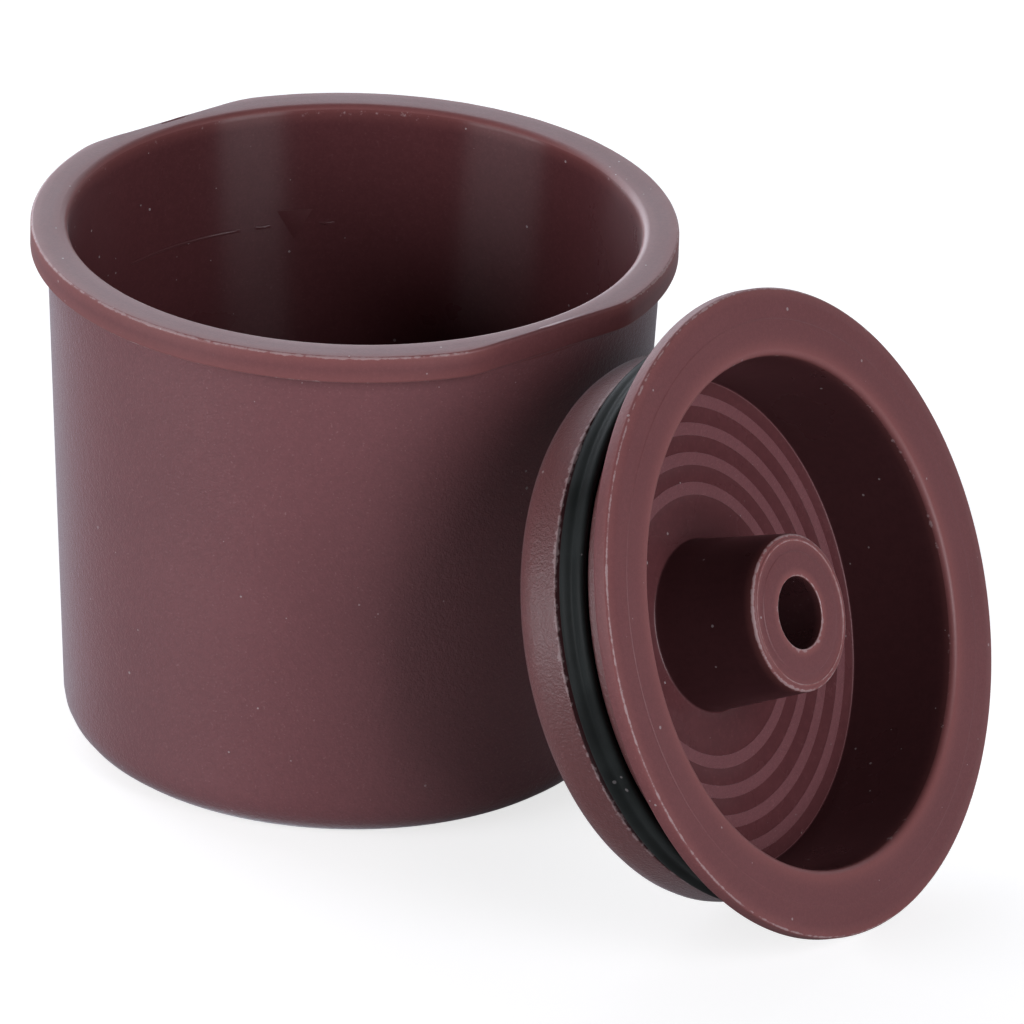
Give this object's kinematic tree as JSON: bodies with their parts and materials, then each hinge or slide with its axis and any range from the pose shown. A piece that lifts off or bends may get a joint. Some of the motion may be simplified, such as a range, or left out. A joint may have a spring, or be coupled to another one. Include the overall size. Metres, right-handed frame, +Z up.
{
  "type": "refillable brew capsule with plug-in lid",
  "caption": "Small moulded cup with a flanged rim and a filter in its base, beside its plug-in lid with a rubber ring, a deep dish and a hollow centre post.",
  "frame": {"origin": "middle of the bounding box of cup and standing lid, on the surface they stand on", "axes": "+X from the cup towards the lid, along the overall length; +Z up along the cup's axis"},
  "size_m": [0.0722, 0.0502, 0.0425],
  "materials": {
    "brown_plastic": "fine-grained satin moulding, smoother inside the cup and the dish",
    "black_rubber": "smooth, slightly glossy",
    "filter_steel": "fine perforated screen"
  },
  "bodies": {
    "cup": {"cup_body": "brown_plastic", "base_filter_screen": "filter_steel", "base_filter_ring": "brown_plastic"},
    "lid": {"lid_body": "brown_plastic", "lid_seal_ring": "black_rubber", "lid_shower_screen": "filter_steel", "lid_shower_ring": "filter_steel"}
  },
  "joints": [
    {"name": "lid_pull", "type": "slide", "parent": "cup", "child": "lid", "axis": [0.9238, 0, 0.3828], "range_m": [0, 0.0121]}
  ]
}
